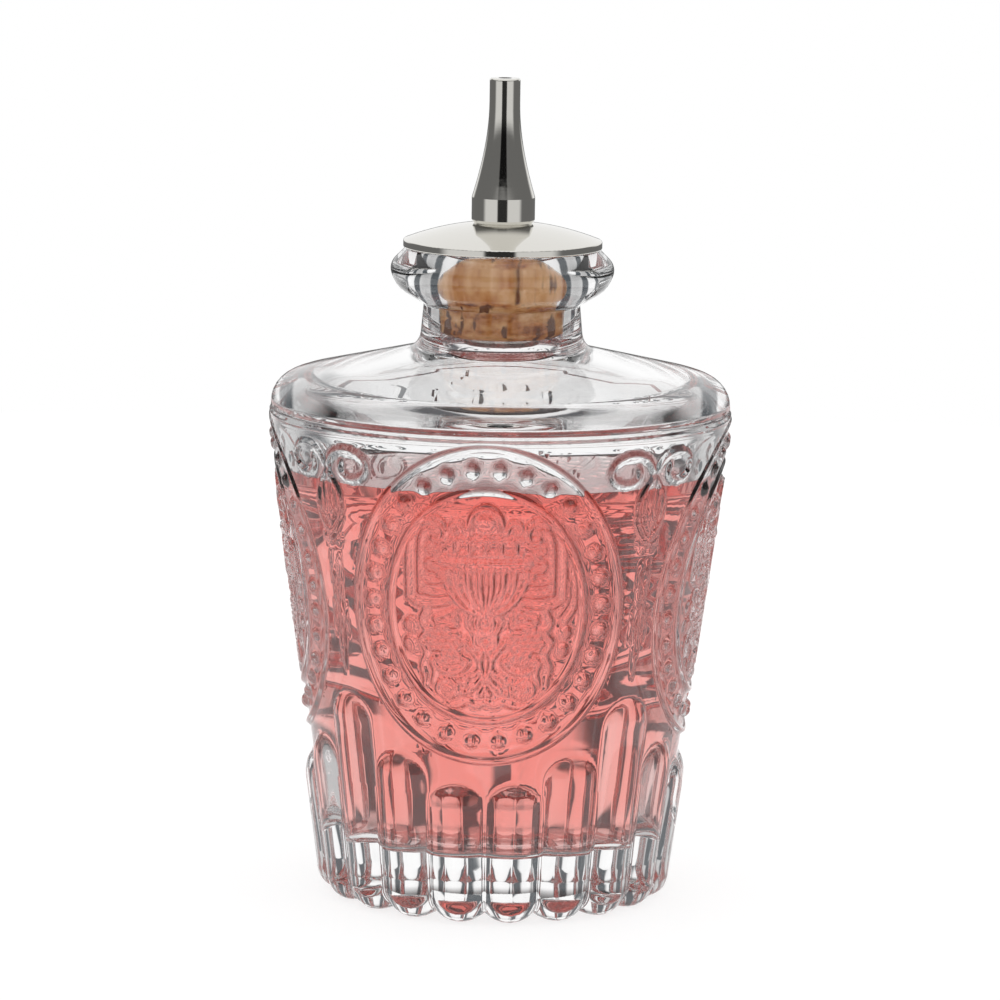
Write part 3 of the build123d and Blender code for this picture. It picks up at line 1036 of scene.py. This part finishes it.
@dataclass
class PressedBottle:
    """The glass itself, one closed skin: foot, body, medallions, shoulder, neck, lip and the inside.

    Its columns are angles in degrees from the middle of the front medallion, rising towards +X.
    """

    form: GlassForm
    disc_cells: int = 94
    rib_columns: int = 10
    round_columns: int = 116
    foot_top: float = 19.6
    recess_radius: float = 17.2
    recess_depth: float = 2.2
    push_up: float = 3.4

    def __post_init__(self) -> None:
        """Makes the parts that shape the body."""
        self.gadroons = Gadroons(self.form)
        self.medallion = Medallion(self.form)

    def foot_angles(self) -> np.ndarray:
        """Returns the foot's columns, closer together at the grooves between ribs."""
        share = np.arange(self.rib_columns) / self.rib_columns
        pinched = share - 0.5 * np.sin(2 * pi * share) / (2 * pi)
        return ((np.arange(self.gadroons.count)[:, None] + pinched) * self.gadroons.pitch).ravel()

    def body_angles(self) -> np.ndarray:
        """Returns the body's columns: pinched at the ribs' grooves and finest between two medallions."""
        pitch = self.gadroons.pitch
        share = np.arange(16) / 16
        middle = pitch * (share - 0.6 * np.sin(2 * pi * share) / (2 * pi))
        flank = pitch + 12 * (np.arange(11) / 11) ** 1.3
        side = np.arange(30, 45, 0.5)
        half = np.concatenate((middle, flank, side))
        quarter = np.concatenate((half, [QUARTER / 2], QUARTER - half[:0:-1]))
        return (quarter[None] + np.arange(4)[:, None] * QUARTER).ravel()

    def body_heights(self) -> np.ndarray:
        """Returns the body's rows: finest at the scrolls, coarser at the ribs' tops."""
        edge = self.form.edge_height
        return np.concatenate((
            np.linspace(20.0, 34.0, 24, endpoint=False),
            np.linspace(34.0, 56.0, 24, endpoint=False),
            np.linspace(56.0, edge, 36),
        ))

    def ribbed(self, angle: np.ndarray, height: np.ndarray) -> np.ndarray:
        """Returns the radius of the ribbed cone at an angle from the front and a height."""
        angle, height = np.broadcast_arrays(angle, height)
        return self.gadroons.surface(angle - QUARTER / 2, height)

    def around(self, angle: np.ndarray, radius: np.ndarray, height: np.ndarray) -> np.ndarray:
        """Returns points from an angle in degrees from the front, a radius and a height."""
        turn = np.radians(angle - QUARTER)
        return np.stack(np.broadcast_arrays(radius * np.cos(turn), radius * np.sin(turn), height), -1)

    def add_foot(self, skin: Skin, angles: np.ndarray) -> np.ndarray:
        """Adds the recess under the base, the toes and the lower ribs.

        A toe's outline is an arc that leaves the wall along its slope and ends level. Between two ribs it
        is lifted.

        Args:
            skin: Skin that takes them.
            angles: The foot's columns.

        Returns:
            The last ring's point numbers.
        """
        gadroons, lean = self.gadroons, self.form.taper
        lift = gadroons.toe_height(angles - QUARTER / 2)
        turn_height = lift + gadroons.toe_round * (1 - sin(lean))
        middle = self.ribbed(angles, turn_height) - gadroons.toe_round * cos(lean)
        centre = skin.add(np.array([[0.0, 0.0, self.push_up]]))
        dome = np.linspace(0.15, 1, 6)[:, None]
        reach = (self.recess_radius - 0.4) * dome
        rise = self.push_up - (self.push_up - self.recess_depth) * dome ** 2
        hollow = self.around(angles, reach, rise)
        sole = np.array([0.0, 0.35, 1.0])[:, None]
        sole_radius = self.recess_radius + (middle - self.recess_radius) * sole
        sole_height = lift * np.array([0.4, 1.0, 1.0])[:, None] + np.array([0.25, 0.0, 0.0])[:, None]
        swing = np.linspace(-pi / 2, -lean, 10)[1:, None]
        toe_radius = middle + gadroons.toe_round * np.cos(swing)
        toe_height = lift + gadroons.toe_round * (1 + np.sin(swing))
        heights = np.linspace(5.2, self.foot_top, 14)[:, None]
        rings = [
            hollow,
            self.around(angles, sole_radius, sole_height),
            self.around(angles, toe_radius, toe_height),
            self.around(angles, self.ribbed(angles, heights), heights),
        ]
        numbers = skin.add(np.concatenate(rings))
        skin.fan(numbers[0], centre, outwards=True)
        skin.band(numbers)
        return numbers[-1]

    def add_body(self, skin: Skin, angles: np.ndarray) -> tuple[np.ndarray, np.ndarray]:
        """Adds the ribbed and ornamented cone up to the mould line, with the four medallions set into it.

        The cells that would touch a medallion are left out, and the stepped edge of what is left is zipped
        to the medallion's outer oval.

        Args:
            skin: Skin that takes them.
            angles: The body's columns.

        Returns:
            The first and last rings' point numbers.
        """
        heights = self.body_heights()[:, None]
        facing = np.floor((angles + QUARTER / 2) / QUARTER) % 4
        aside = (angles + QUARTER / 2) % QUARTER - QUARTER / 2
        cone = self.form.cone(heights)
        across, up = np.radians(aside) * cone, heights - self.medallion.height + 0 * aside
        corner = np.radians(angles % QUARTER - QUARTER / 2) * cone
        rise = CornerRelief().height(corner, heights + 0 * corner)
        numbers = skin.add(self.around(angles, self.ribbed(angles, heights) + rise, heights))
        near = self.medallion.inside(across, up, self.medallion.patch_edge + 0.12)
        hole = near[:-1] | near[1:]
        hole |= np.roll(hole, -1, 1)
        low, high = numbers[:-1], numbers[1:]
        cells = np.stack((low, np.roll(low, -1, 1), np.roll(high, -1, 1), high), -1)
        skin.faces.append(cells[~hole])
        padded = np.pad(hole, ((1, 1), (0, 0)))
        beside = np.stack((padded[:-1], padded[1:], np.roll(padded[:-1], 1, 1), np.roll(padded[1:], 1, 1)))
        stepped = beside.any(0) & ~beside.all(0)
        half_width, half_height = self.medallion.oval(self.medallion.patch_edge)
        turn = np.degrees(np.arctan2(up / half_height, across / half_width)) % 360
        for side in range(4):
            chosen = stepped & (facing == side)
            order = np.argsort(turn[chosen])
            oval, oval_at = self.medallion.patch(skin, side, self.disc_cells)
            skin.zip(oval, oval_at, numbers[chosen][order], turn[chosen][order])
        return numbers[0], numbers[-1]

    def add_upper(self, skin: Skin, edge: np.ndarray, angles: np.ndarray) -> None:
        """Adds all that is plainly turned: the mould line, shoulder, neck, lip, bore, inner wall and floor.

        Args:
            skin: Skin that takes them.
            edge: The body's last ring.
            angles: The body's columns.
        """
        form = self.form
        step = form.edge_height + form.edge_step
        band = skin.add(self.around(angles, form.band_radius, np.array([[step], [step + 0.4]])))
        skin.band(np.concatenate((edge[None], band)))
        path = np.concatenate((form.upper_outline(), form.inner_outline()))
        columns = np.arange(self.round_columns) * 360 / self.round_columns
        rings = skin.add(self.around(columns, path[:-1, :1], path[:-1, 1:]))
        skin.zip(rings[0], columns, band[-1], angles)
        skin.band(rings)
        floor = skin.add(np.array([[0.0, 0.0, path[-1, 1]]]))
        skin.fan(rings[-1], floor, outwards=False)

    def build(self) -> Object:
        """Builds the glass and lets it stand for its CAD node."""
        skin = Skin()
        foot_at, body_at = self.foot_angles(), self.body_angles()
        foot = self.add_foot(skin, foot_at)
        low, high = self.add_body(skin, body_at)
        skin.zip(low, body_at, foot, foot_at)
        self.add_upper(skin, high, body_at)
        piece = add_piece(skin.mesh("pressed_bottle"), PressedGlass().material(), "bottle")
        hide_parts("glass_bottle")
        return piece


@dataclass
class BittersFill:
    """The liquid, which wets the glass: it runs a hair inside the wall and climbs it at the top."""

    form: GlassForm
    wetting: float = 0.06
    climb: float = 0.8
    climb_reach: float = 0.9
    climb_span: float = 4.0
    climb_rows: int = 14
    level_from: float = 6.0
    level_rows: int = 8
    columns: int = 120

    def build(self) -> Object:
        """Turns the liquid's outline and lets it stand for its CAD node.

        The surface rises to the wall by a falling exponential of the distance from it.
        """
        level = self.form.liquid_height
        wall = self.form.inner_outline(self.wetting)[::-1]
        wall = wall[wall[:, 1] < level - 1]
        edge_height = level + self.climb
        edge = wall[-1, 0] + (edge_height - wall[-1, 1]) * tan(self.form.taper)
        gaps = np.concatenate((
            np.linspace(0, self.climb_span, self.climb_rows),
            np.linspace(self.level_from, edge, self.level_rows),
        ))
        surface = np.stack((edge - gaps, level + self.climb * np.exp(-gaps / self.climb_reach)), -1)
        path = np.concatenate((wall, surface))
        skin = Skin()
        angles = np.arange(self.columns) * 360 / self.columns - QUARTER
        bottom, top = skin.add(np.array([[0.0, 0.0, path[0, 1]], [0.0, 0.0, path[-1, 1]]]))
        rings = skin.add(turned_points(path[1:-1], angles))
        skin.fan(rings[0], bottom, outwards=True)
        skin.band(rings)
        skin.fan(rings[-1], top, outwards=False)
        piece = add_piece(skin.mesh("bitters_fill"), Bitters().material(), "bottle")
        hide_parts("bitters")
        return piece


# ---- Stopper ------------------------------------------------------------------------------
@dataclass
class CorkPlug:
    """The bored cork, its side pitted as cut bark is."""

    form: GlassForm
    bore: float = 3.02
    gap: float = 0.05
    edge: float = 0.7
    columns: int = 300
    rows: int = 60
    pit_count: int = 130
    pit_depth: float = 0.35
    pit_share: tuple[float, float] = (0.4, 1.0)
    pit_length: tuple[float, float] = (0.25, 1.1)
    pit_width: tuple[float, float] = (0.15, 0.4)
    seed: int = 7

    def build(self) -> Object:
        """Turns the cork and lets it stand for its CAD node."""
        rim, foot = self.form.rim_height, self.form.rim_height - self.form.cork_length
        low, high = self.form.bore_radius - self.gap, self.form.mouth_radius - self.gap
        share = np.linspace(0, 1, self.rows)
        heights = foot + self.edge + (rim - 0.1 - foot - self.edge) * share
        side = np.stack((low + (high - low) * (heights - foot) / (rim - foot), heights), -1)
        ends = [(self.bore, foot), (low - self.edge, foot)]
        path = np.concatenate((ends, side, [(high - 0.1, rim), (self.bore, rim)]))
        angles = np.arange(self.columns) * 360 / self.columns
        points = turned_points(path, angles)
        sunk = self.pits(angles, heights)
        points[2:2 + self.rows, :, :2] *= 1 - sunk[..., None] / side[:, :1, None]
        skin = Skin()
        rings = skin.add(points)
        skin.band(np.concatenate((rings, rings[:1])))
        piece = add_piece(skin.mesh("cork_plug"), NaturalCork().material(), "stopper")
        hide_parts("cork")
        return piece

    def pits(self, angles: np.ndarray, heights: np.ndarray) -> np.ndarray:
        """Works out how deep the side is sunk: round-bottomed pits of random place and size, longer round
        the cork.

        Args:
            angles: Columns, in degrees.
            heights: Rows, in millimetres.

        Returns:
            Depths in millimetres, a row for each height.
        """
        draw = np.random.default_rng(self.seed)
        middle = draw.uniform(0, 360, self.pit_count)
        height = draw.uniform(heights[0], heights[-1], self.pit_count)
        length = draw.uniform(*self.pit_length, self.pit_count)
        width = draw.uniform(*self.pit_width, self.pit_count)
        depth = self.pit_depth * draw.uniform(*self.pit_share, self.pit_count)
        aside = (angles[None, :, None] - middle + 180) % 360 - 180
        along = np.radians(aside) * self.form.bore_radius / length
        up = (heights[:, None, None] - height) / width
        return (depth * np.clip(1 - along ** 2 - up ** 2, 0, 1)).max(-1)


@dataclass
class DasherStopper:
    """Cork, domed disc, spout, stem and collar, which lift out together."""

    form: GlassForm

    def build(self) -> None:
        """Builds the cork and gives the turned metal its polish."""
        CorkPlug(self.form).build()
        steel = PolishedSteel().material()
        for name in ("cap_disc", "spout", "stem_tube", "retaining_collar"):
            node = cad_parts[name]
            for slot in node.material_slots:
                slot.material = steel


# ---- Studio -------------------------------------------------------------------------------
class Ray(Enum):
    """What the Light Path node tells of a ray, by the names of its outputs."""

    CAMERA = "Is Camera Ray"
    THROUGH = "Is Transmission Ray"
    LIGHTING = "Diffuse Depth"


@dataclass
class Studio:
    """The white sweep and the soft surroundings. Nothing in them is brighter than white.

    Glass shows what is behind and beside it, so the surroundings seen through it are white panels with
    narrow cool gaps, one panel to each eighth of a turn. Metal shows what is in front of it: a soft box on
    each side of the camera, dim walls beside them, and the white sweep behind and overhead. Pairs of
    numbers are where a smooth step starts and ends: heights are those of a direction of length one, and
    fronts are cosines of the angle from -Y.
    """

    floor_radius: float = 0.5
    floor_glow: float = 0.8
    floor_colour: str = "#8c8c8c"
    # Painted shadow in the floor's glow to rays through the glass: its level near the middle and far out,
    # and the radii in metres between which it fades.
    floor_painted_shadow_levels: tuple[float, float] = (0.16, 1.0)
    floor_painted_shadow_radii: tuple[float, float] = (0.04, 0.11)
    # Layer Weight facing over which that glow turns into a painted reflection of the panels.
    floor_painted_reflection_facing: tuple[float, float] = (0.22, 0.6)
    gap_colour: str = "#565b5f"
    gap_wave: tuple[float, float] = (-0.62, -0.05)
    panel_level: float = 0.72
    panel_by_quarters: float = 0.2
    panel_by_halves: float = 0.08
    panel_fall_heights: tuple[float, float] = (0.25, 0.5)
    panel_high_level: float = 0.12
    ceiling_heights: tuple[float, float] = (0.5, 0.75)
    ceiling_level: float = 0.7
    box_level: float = 0.78
    box_fronts: tuple[float, float] = (0.22, 0.5)
    box_heights: tuple[float, float] = (0.02, 0.17)
    side_level: float = 0.17
    lens_level: float = 0.04
    lens_fronts: tuple[float, float] = (0.935, 0.965)
    sweep_fronts: tuple[float, float] = (-0.6, -0.85)
    sweep_heights: tuple[float, float] = (-0.04, 0.04)
    overhead_heights: tuple[float, float] = (0.4, 0.55)

    def panels(self, tree: NodeTree, right: NodeSocket, back: NodeSocket) -> NodeSocket:
        """Works out the colour of the surroundings in a level direction, as glass shows them.

        A smooth step of the cosine of eight times the azimuth goes from the gaps' colour to the panels'.
        The panels' own level is a steady part and cosines of four times and twice the azimuth.

        Args:
            tree: Node tree of the world or the floor.
            right: The direction's part along +X.
            back: Its part along +Y.

        Returns:
            The colour.
        """
        azimuth = add_node(tree, "Math", {"operation": "ARCTAN2"}, (right, back)).outputs[0]
        waves = []
        for times in (8.0, 4.0, 2.0):
            turned = add_node(tree, "Math", {"operation": "MULTIPLY"}, (azimuth, times)).outputs[0]
            waves.append(add_node(tree, "Math", {"operation": "COSINE"}, (turned,)).outputs[0])
        level = self.panel_level
        for wave, share in zip(waves[1:], (self.panel_by_quarters, self.panel_by_halves)):
            level = add_node(tree, "Math", {"operation": "MULTIPLY_ADD"}, (wave, share, level)).outputs[0]
        inside = add_node(tree, "MapRange", SMOOTH, (waves[0], *self.gap_wave)).outputs[0]
        return add_node(tree, "Mix", COLOURS, {0: inside, 6: linear(self.gap_colour), 7: level}).outputs[2]

    def mirrored(self, tree: NodeTree, right: NodeSocket, back: NodeSocket, up: NodeSocket) -> NodeSocket:
        """Works out how bright the surroundings are to metal and to the outside of the glass.

        All of it goes by the cosine of the angle from the front: dark close to it, then a soft box, then
        the dim side. Above the horizon the back is the white sweep, and so is everything overhead.

        Args:
            tree: The world's node tree.
            right: The direction's part along +X.
            back: Its part along +Y.
            up: Its part along +Z.

        Returns:
            The brightness.
        """
        level = add_node(tree, "CombineXYZ", None, (right, back)).outputs[0]
        level = add_node(tree, "VectorMath", {"operation": "NORMALIZE"}, (level,)).outputs[0]
        front = add_node(tree, "VectorMath", {"operation": "DOT_PRODUCT"}, (level, (0.0, -1.0, 0.0)))
        front = front.outputs["Value"]
        lit = add_node(tree, "MapRange", SMOOTH, (up, *self.box_heights, self.box_level, self.side_level))
        box, lens, sweep, above, overhead = [
            add_node(tree, "MapRange", SMOOTH, step).outputs[0]
            for step in (
                (front, *self.box_fronts, self.side_level, lit.outputs[0]),
                (front, *self.lens_fronts, 1.0, self.lens_level),
                (front, *self.sweep_fronts),
                (up, *self.sweep_heights),
                (up, *self.overhead_heights),
            )
        ]
        dark = add_node(tree, "Math", {"operation": "MULTIPLY"}, (box, lens)).outputs[0]
        behind = add_node(tree, "Math", {"operation": "MULTIPLY"}, (sweep, above)).outputs[0]
        bright = add_node(tree, "Math", {"operation": "MAXIMUM"}, (behind, overhead)).outputs[0]
        return add_node(tree, "Mix", COLOURS, {0: bright, 6: dark, 7: linear(WHITE)}).outputs[2]

    def surroundings(self) -> None:
        """Makes the world: white to the camera and to matt surfaces, panels to glass, soft boxes to metal.

        The panels fade with height, and a dimmer ceiling closes them overhead.
        """
        world = bpy.data.worlds.new("studio")
        bpy.context.scene.world = world
        world.use_nodes = True
        tree = world.node_tree
        tree.nodes.clear()
        place = add_node(tree, "TexCoord")
        right, back, up = add_node(tree, "SeparateXYZ", None, (place.outputs["Generated"],)).outputs
        low, high = [
            add_node(tree, "MapRange", SMOOTH, (up, *step)).outputs[0]
            for step in (
                (*self.panel_fall_heights, 1.0, self.panel_high_level),
                (*self.ceiling_heights, 0.0, self.ceiling_level),
            )
        ]
        fade = add_node(tree, "Math", {"operation": "ADD"}, (low, high)).outputs[0]
        panels = self.panels(tree, right, back)
        through = add_node(tree, "VectorMath", {"operation": "SCALE"}, {0: panels, "Scale": fade})
        path = add_node(tree, "LightPath").outputs
        glassy = add_node(tree, "Mix", COLOURS, {
            0: path[Ray.THROUGH.value],
            6: self.mirrored(tree, right, back, up),
            7: through.outputs[0],
        })
        plain = add_node(tree, "Math", {"operation": "MAXIMUM"}, (
            path[Ray.CAMERA.value], path[Ray.LIGHTING.value],
        ))
        colour = add_node(tree, "Mix", COLOURS, {
            0: plain.outputs[0], 6: glassy.outputs[2], 7: linear(WHITE),
        })
        glow = add_node(tree, "Background", None, {"Color": colour.outputs[2], "Strength": 1.0})
        add_node(tree, "OutputWorld", None, {"Surface": glow.outputs[0]})

    def floor(self) -> None:
        """Lays a round sheet, white to the camera, that still takes a soft shadow.

        To rays through the glass it is a glow instead, with painted light: at a low angle a painted
        reflection of the panels, and seen from above a painted shadow, dim near the middle where the bottle
        stands.
        """
        skin = Skin()
        angles = np.arange(96) * 360 / 96
        radii = np.linspace(0.1, 1, 8)[:, None] * self.floor_radius / MM
        rings = skin.add(turned_points(np.concatenate((radii, 0 * radii), 1)[::-1], angles))
        centre = skin.add(np.zeros((1, 3)))
        skin.band(rings)
        skin.fan(rings[-1], centre, outwards=False)
        sheet = bpy.data.objects.new("floor", skin.mesh("floor"))
        bpy.context.scene.collection.objects.link(sheet)
        material, tree = new_material("white_sweep_painted_shadow_reflection")
        matt = add_node(tree, "BsdfDiffuse", None, {"Color": linear(self.floor_colour)})
        glow = add_node(tree, "Emission", None, {"Strength": self.floor_glow})
        both = add_node(tree, "AddShader", None, (matt.outputs[0], glow.outputs[0]))
        place = add_node(tree, "TexCoord").outputs["Object"]
        reach = add_node(tree, "VectorMath", {"operation": "LENGTH"}, (place,)).outputs["Value"]
        # Painted shadow: to rays through the glass the floor glows dimmer near the middle, where the bottle
        # stands, whatever light reaches it.
        shaded = add_node(tree, "MapRange", SMOOTH, (reach, *self.floor_painted_shadow_radii, *self.floor_painted_shadow_levels))
        # Painted reflection: at a low angle the glow takes the panels' colour, laid out by the floor's own
        # place and not by any mirror.
        facing = add_node(tree, "LayerWeight", None, {"Blend": 0.5}).outputs["Facing"]
        low = add_node(tree, "MapRange", SMOOTH, (facing, *self.floor_painted_reflection_facing)).outputs[0]
        right, back, _ = add_node(tree, "SeparateXYZ", None, (place,)).outputs
        painted_shadow_and_reflection = add_node(tree, "Mix", COLOURS, {
            0: low, 6: shaded.outputs[0], 7: self.panels(tree, right, back),
        })
        seen = add_node(tree, "Emission", None, {"Color": painted_shadow_and_reflection.outputs[2], "Strength": 1.0})
        path = add_node(tree, "LightPath").outputs
        glassy = add_node(tree, "Math", {"operation": "GREATER_THAN"}, (
            path[Ray.THROUGH.value], path[Ray.LIGHTING.value],
        ))
        sheet_finish = add_node(tree, "MixShader", None, (
            glassy.outputs[0], both.outputs[0], seen.outputs[0],
        ))
        add_node(tree, "OutputMaterial", None, {"Surface": sheet_finish.outputs[0]})
        sheet.data.materials.append(material)

    def bounces(self) -> None:
        """Lets light cross as many glass walls as the bottle puts in its way."""
        cycles = bpy.context.scene.cycles
        cycles.max_bounces = 32
        cycles.transmission_bounces = 32
        cycles.glossy_bounces = 12
        cycles.volume_bounces = 0
        cycles.transparent_max_bounces = 16

    def build(self) -> None:
        """Builds the studio."""
        self.surroundings()
        self.floor()
        self.bounces()
        bpy.context.scene.view_settings.view_transform = "Standard"


@dataclass
class ProductCamera:
    """A long lens a little above the bottle, at the photograph's angle."""

    distance: float = 0.763
    height: float = 0.183
    down: float = radians(9.225)
    azimuth: float = radians(3.16)
    roll: float = 0.0145
    focal_pixels: float = 5175.0
    picture: int = 1000
    shift: float = 0.0009

    def build(self) -> None:
        """Places the camera and makes it the scene's own."""
        lens = bpy.data.cameras.new("product_camera")
        lens.sensor_width = 36.0
        lens.lens = self.focal_pixels / self.picture * lens.sensor_width
        lens.shift_x = self.shift
        camera = bpy.data.objects.new("product_camera", lens)
        place = Matrix.Translation((
            self.distance * sin(self.azimuth),
            -self.distance * cos(self.azimuth),
            self.height,
        ))
        aim = Matrix.Rotation(self.azimuth, 4, "Z") @ Matrix.Rotation(pi / 2 - self.down, 4, "X")
        camera.matrix_world = place @ aim @ Matrix.Rotation(self.roll, 4, "Z")
        bpy.context.scene.collection.objects.link(camera)
        bpy.context.scene.camera = camera


def main() -> None:
    """Builds the bottle, its fill, its stopper and the studio."""
    logging.basicConfig(level=logging.INFO, format="%(name)s: %(message)s")
    form = GlassForm()
    PressedBottle(form).build()
    BittersFill(form).build()
    DasherStopper(form).build()
    Studio().build()
    ProductCamera().build()


if __name__ == "__main__":
    main()
